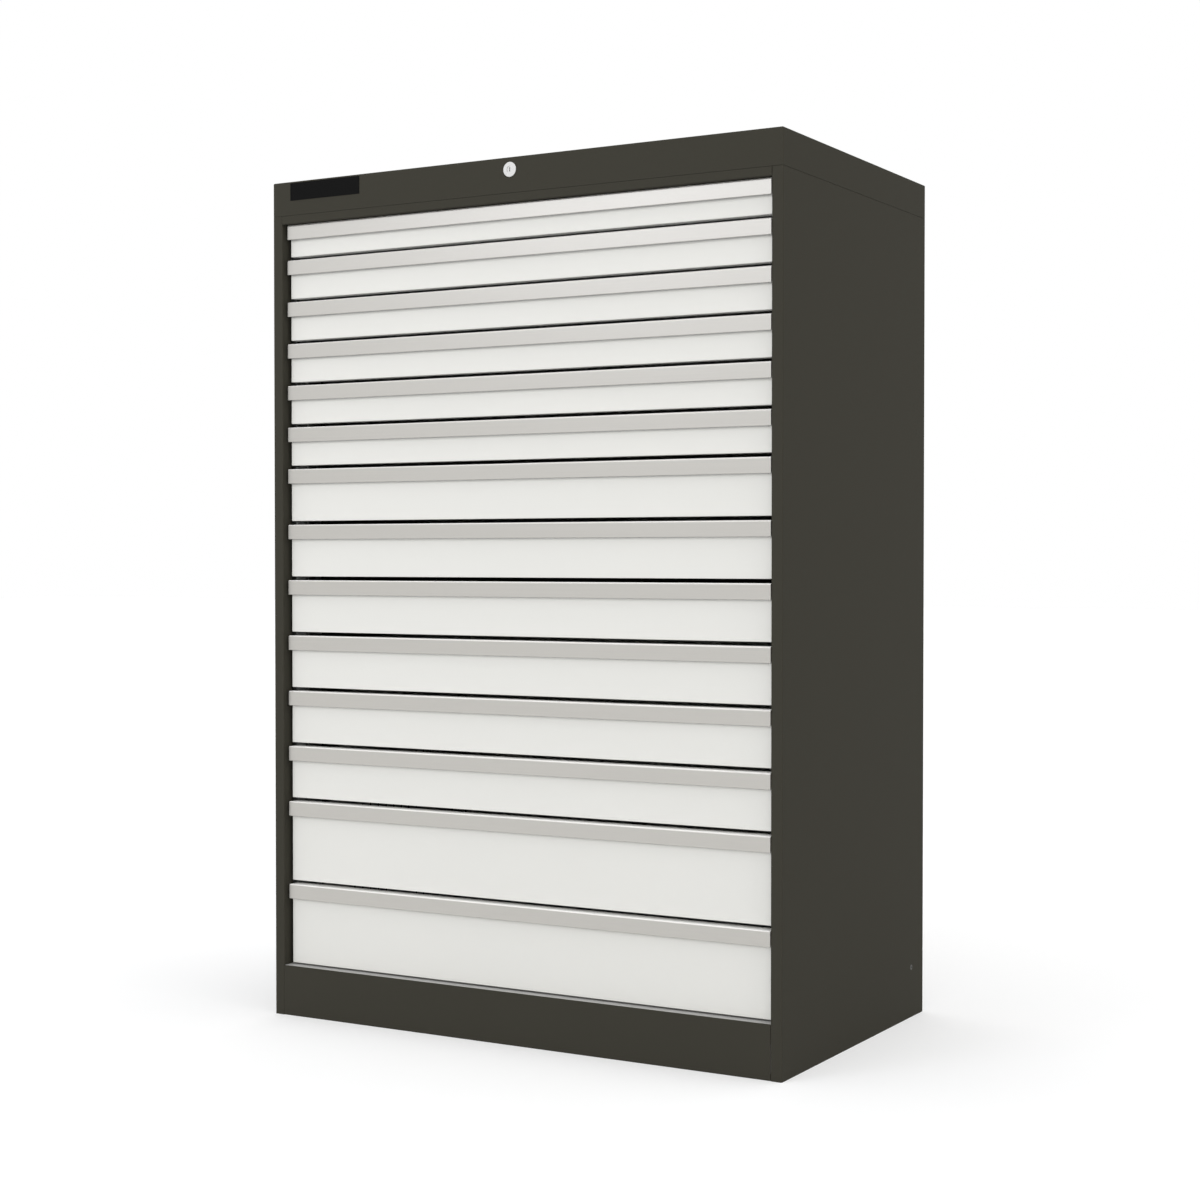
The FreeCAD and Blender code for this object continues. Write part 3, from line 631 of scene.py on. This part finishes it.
class CABINET_OT_dress_lock(bpy.types.Operator):
    """Finish the lock, its works behind the header, and the bare badge plate"""
    bl_idname = "cabinet.dress_lock"
    bl_label = "Lock and badge"

    def execute(self, context):
        settings = context.scene.cabinet_lock
        nickel = brushed_metal("lock_nickel", settings.metal, settings.gloss, (1, 1, 1), strength=0.05)
        dress(["lock_barrel", "lock_plug"], nickel)
        plating = zinc_plate("lock_plating", context.scene.cabinet_shell.plating)
        dress(["lock_link", "lock_bar", "lock_guides"], plating)
        self.make_badge(settings)
        return {"FINISHED"}

    def make_badge(self, settings):
        """A bare plate with a thin rim round its sunken field."""
        low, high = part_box("badge_plate")
        rim = settings.badge_rim
        field = low.y + settings.badge_sunk
        material = new_material("badge_black", settings.badge, 0.5, specular=0.05)
        raise_grain(material, grain(material, 700), 0.1, 0.0001)
        builder = Builder()
        builder.box((low.x, field, low.z), high)
        for x0, x1, z0, z1 in ((low.x, high.x, low.z, low.z + rim), (low.x, high.x, high.z - rim, high.z),
                               (low.x, low.x + rim, low.z + rim, high.z - rim),
                               (high.x - rim, high.x, low.z + rim, high.z - rim)):
            builder.box((x0, low.y, z0), (x1, field, z1))
        badge = builder.piece("badge_blank", "cabinet", "badge_black", material)
        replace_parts(badge, "badge_plate")


class CABINET_OT_dress_pulls(bpy.types.Operator):
    """Finish the aluminium pulls of the drawers"""
    bl_idname = "cabinet.dress_pulls"
    bl_label = "Pulls"

    def execute(self, context):
        settings = context.scene.cabinet_pulls
        metal = brushed_metal("pull_aluminium", settings.metal, settings.gloss, (0.004, 1, 1))
        # The pulls' upward faces get painted light: pale and not metallic, for the light on their tops.
        paint_light_on_tops(metal, settings.painted_top_light)
        dress([name + "_handle" for name in drawers], metal)
        return {"FINISHED"}


class CABINET_OT_make_fronts(bpy.types.Operator):
    """Make the hollow front of every drawer, with its softened edges and the fold behind the pull"""
    bl_idname = "cabinet.make_fronts"
    bl_label = "Fronts"

    def execute(self, context):
        settings = context.scene.cabinet_drawers
        wall = context.scene.cabinet_pulls.wall
        paint = powder_coat("drawer_paint", settings.paint, roughness=0.4, specular=0.3)
        for name in drawers:
            low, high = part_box(name + "_body")
            front = low.y
            back = front + settings.thickness
            fold = front + settings.pocket
            mouth = high.z + wall - settings.mouth
            outline = [(front, low.z), (back, low.z), (back, high.z), (fold, high.z),
                       (fold, mouth + settings.pocket), (front, mouth)]
            builder = Builder()
            builder.prism(outline, along_x, low.x, high.x)
            piece = builder.piece(name + "_front", name, "drawer_paint", paint)
            soften(piece, settings.edge, segments=3)
        return {"FINISHED"}


class CABINET_OT_make_trays(bpy.types.Operator):
    """Make the slotted tray of every drawer, with its slide channels and its lock lug"""
    bl_idname = "cabinet.make_trays"
    bl_label = "Trays"

    # What a row of slots leaves free beyond whole steps, as a share of the gap between two slots.
    END_SHARE = 0.4

    def execute(self, context):
        settings = context.scene.cabinet_drawers
        slides = context.scene.cabinet_slides
        lock = context.scene.cabinet_lock
        wall = context.scene.cabinet_pulls.wall
        paint = powder_coat("tray_paint", settings.paint, roughness=0.42, specular=0.3)
        plating = zinc_plate("channel_plating", context.scene.cabinet_shell.plating)
        for name in drawers:
            low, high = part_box(name + "_body")
            half = high.x - settings.side_space
            start = low.y + settings.thickness
            floor = low.z + settings.tray_rise
            rim = high.z + wall - settings.tray_drop
            tray = self.make_tray(settings, half, (start, high.y), (floor, rim))
            piece = tray.piece(name + "_tray", name, "drawer_paint", paint)
            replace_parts(piece, name + "_body")
            self.make_channels(slides, name, half, (start + slides.setback, high.y), low.z, plating)
            lug = self.make_lug(lock, half, start + lock.lug_place, low.z + lock.lug_rise)
            soften(lug.piece(name + "_lug", name, "zinc_sheet", plating), slides.edge)
        return {"FINISHED"}

    def make_tray(self, settings, half, depths, heights):
        """A folded floor, two slotted sides, a slotted front wall and a plain back wall."""
        start, end = depths
        floor, rim = heights
        sheet = settings.sheet
        bend = settings.bend
        base = floor + bend
        builder = Builder()
        outer = [(-half, base, 0), (-half, floor, bend), (half, floor, bend), (half, base, 0)]
        inner = [(half - sheet, base, 0), (half - sheet, floor + sheet, bend - sheet),
                 (sheet - half, floor + sheet, bend - sheet), (sheet - half, base, 0)]
        builder.prism(rounded(outer + inner), along_y, start, end)
        hem = rim - settings.hem
        width = settings.slot_width
        space = settings.slot_pitch - width
        cuts_z, slot_rows = self.cuts(base, hem, settings.slot_height, settings.slot_gap)
        cuts_y, slot_columns = self.cuts(start, end, width, space)
        cuts_x, slot_files = self.cuts(-half, half, width, space)
        for side in SIDES:
            outside = side * half
            builder.holed(cuts_y, cuts_z, lambda column, row: column in slot_columns and row in slot_rows,
                          lambda u, v, w, edge=outside, way=side: (edge - way * w, u, v), sheet)
            near = min(outside, outside - side * sheet * 2)
            builder.box((near, start, hem), (near + sheet * 2, end, rim))
        for depth, files in ((start, slot_files), (end - sheet, ())):
            builder.holed(cuts_x, cuts_z,
                          lambda column, row, taken=files: column in taken and row in slot_rows,
                          lambda u, v, w, edge=depth: (u, edge + w, v), sheet)
            builder.box((-half, depth, hem), (half, depth + sheet, rim))
            builder.box((-half + sheet, depth, floor + sheet), (half - sheet, depth + sheet, base))
        return builder

    def cuts(self, start, end, width, gap):
        """Cuts that hold as many slots as fit between two ends, and the indices of the slots."""
        pitch = width + gap
        count = max(int((end - start - gap * self.END_SHARE) / pitch), 1)
        first = (start + end - count * pitch + gap) / 2
        cuts = [start]
        for index in range(count):
            cuts += [first + index * pitch, first + index * pitch + width]
        cuts.append(end)
        return cuts, set(range(1, len(cuts) - 1, 2))

    def make_channels(self, slides, name, half, depths, bottom, material):
        """The open channels on both sides of the tray, in which the rollers run."""
        low = bottom + slides.rise
        high = low + slides.height
        builder = Builder()
        for side in SIDES:
            near = side * half
            tip = side * (half + slides.reach)
            web = side * (half + slides.sheet)
            outline = [(tip, low), (near, low), (near, high), (tip, high), (tip, high - slides.sheet),
                       (web, high - slides.sheet), (web, low + slides.sheet), (tip, low + slides.sheet)]
            builder.prism(outline if side > 0 else outline[::-1], along_y, *depths)
        soften(builder.piece(name + "_channels", name, "zinc_sheet", material), slides.edge)

    def make_lug(self, lock, half, front, low):
        """The hook on the left of the tray that the lock's catch holds."""
        high = low + lock.lug_height
        middle = front + lock.lug_sheet
        builder = Builder()
        builder.box((-half - lock.lug_reach, front, low), (-half, middle, high))
        builder.box((-half - lock.foot_sheet, middle, low), (-half, middle + lock.lug_foot, high))
        return builder


class CABINET_OT_make_slides(bpy.types.Operator):
    """Make the intermediate bars, their rollers and their axles"""
    bl_idname = "cabinet.make_slides"
    bl_label = "Slides"

    # The hub's radius in axle radii, then its top's and those of the ring round it, in hub radii.
    HUB = 1.9
    HUB_TOP = 0.95
    RING = (1.5, 1.4)

    def execute(self, context):
        slides = context.scene.cabinet_slides
        side_space = context.scene.cabinet_drawers.side_space
        plating = zinc_plate("bar_plating", context.scene.cabinet_shell.plating)
        steel = brushed_metal("roller_steel", slides.steel, 0.3, (1, 1, 1), strength=0.05)
        for name in drawers:
            number = name[-2:]
            tray_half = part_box(name + "_body")[1].x - side_space
            low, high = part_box("slide_" + number)
            bar_inside = tray_half + slides.reach + slides.gap
            bar_outside = bar_inside + slides.bar_thickness
            middle = (low.z + high.z) / 2
            half = slides.bar_height / 2
            bars = Builder()
            rollers = Builder()
            axles = Builder()
            for side in SIDES:
                near = min(side * bar_inside, side * bar_outside)
                bars.box((near, low.y, middle - half), (near + slides.bar_thickness, high.y, middle + half))
                back = high.y - slides.inset
                front = low.y + slides.inset
                inner = tray_half + slides.sheet + slides.roller_gap
                spots = ((back, bar_outside, high.x), (back - slides.spread, bar_outside, high.x),
                         (front, bar_inside, inner), (front + slides.spread, bar_inside, inner))
                for depth, root, tip in spots:
                    self.add_roller(slides, rollers, axles, side, depth, root, tip, middle, high.z - middle)
            body = "slides_" + number
            piece = bars.piece("slide_" + number + "_bars", body, "zinc_sheet", plating)
            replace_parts(soften(piece, slides.edge), "slide_" + number)
            rollers.piece("slide_" + number + "_rollers", body, "zinc_sheet", steel)
            axles.piece("slide_" + number + "_axles", body, "zinc_sheet", plating)
        return {"FINISHED"}

    def add_roller(self, slides, rollers, axles, side, depth, root, tip, middle, radius):
        """A roller with a sunk ring round its hub, and the axle that holds it to the bar."""
        way = 1 if tip > root else -1
        width = abs(tip - root) - slides.roller_gap
        start = root + way * slides.roller_gap
        centre = (side * start, depth, middle)
        axis = (side * way, 0, 0)
        chamfer = slides.chamfer
        hub = slides.axle * self.HUB
        outer, inner = self.RING
        profile = [(0, slides.axle), (0, radius - chamfer), (chamfer, radius), (width - chamfer, radius),
                   (width, radius - chamfer), (width, hub * outer), (width - chamfer, hub * inner),
                   (width - chamfer, hub), (width, hub * self.HUB_TOP), (width, slides.axle)]
        rollers.turned(profile, centre, axis, steps=40)
        pin = (side * root, depth, middle)
        axles.turned([(0, slides.axle), (width + slides.roller_gap, slides.axle)], pin, axis, steps=20)


class VIEW3D_PT_cabinet(bpy.types.Panel):
    """The settings and steps of the cabinet"""
    bl_label = "Drawer cabinet"
    bl_idname = "VIEW3D_PT_cabinet"
    bl_space_type = "VIEW_3D"
    bl_region_type = "UI"
    bl_category = "Cabinet"

    def draw(self, context):
        for group, steps in STEPS:
            box = self.layout.box()
            settings = getattr(context.scene, group)
            for name in settings.__annotations__:
                box.prop(settings, name)
            for step in steps:
                box.operator(step.bl_idname)


GROUPS = {
    "cabinet_shell": ShellSettings,
    "cabinet_drawers": DrawerSettings,
    "cabinet_pulls": PullSettings,
    "cabinet_slides": SlideSettings,
    "cabinet_lock": LockSettings,
    "cabinet_stage": StageSettings,
}
STEPS = (
    ("cabinet_stage", (CABINET_OT_make_stage,)),
    ("cabinet_shell", (CABINET_OT_dress_shell,)),
    ("cabinet_lock", (CABINET_OT_dress_lock,)),
    ("cabinet_pulls", (CABINET_OT_dress_pulls,)),
    ("cabinet_drawers", (CABINET_OT_make_fronts, CABINET_OT_make_trays)),
    ("cabinet_slides", (CABINET_OT_make_slides,)),
)


def register():
    """Register the settings, the operators and the panel."""
    for name, group in GROUPS.items():
        bpy.utils.register_class(group)
        setattr(bpy.types.Scene, name, PointerProperty(type=group))
    for _, steps in STEPS:
        for step in steps:
            bpy.utils.register_class(step)
    bpy.utils.register_class(VIEW3D_PT_cabinet)


def unregister():
    """Take them all away again."""
    bpy.utils.unregister_class(VIEW3D_PT_cabinet)
    for _, steps in STEPS:
        for step in steps:
            bpy.utils.unregister_class(step)
    for name, group in GROUPS.items():
        delattr(bpy.types.Scene, name)
        bpy.utils.unregister_class(group)


def main():
    """Build the whole look."""
    register()
    bpy.ops.cabinet.make_stage()
    bpy.ops.cabinet.dress_shell()
    bpy.ops.cabinet.dress_lock()
    bpy.ops.cabinet.dress_pulls()
    bpy.ops.cabinet.make_fronts()
    bpy.ops.cabinet.make_trays()
    bpy.ops.cabinet.make_slides()


if __name__ == "__main__":
    main()
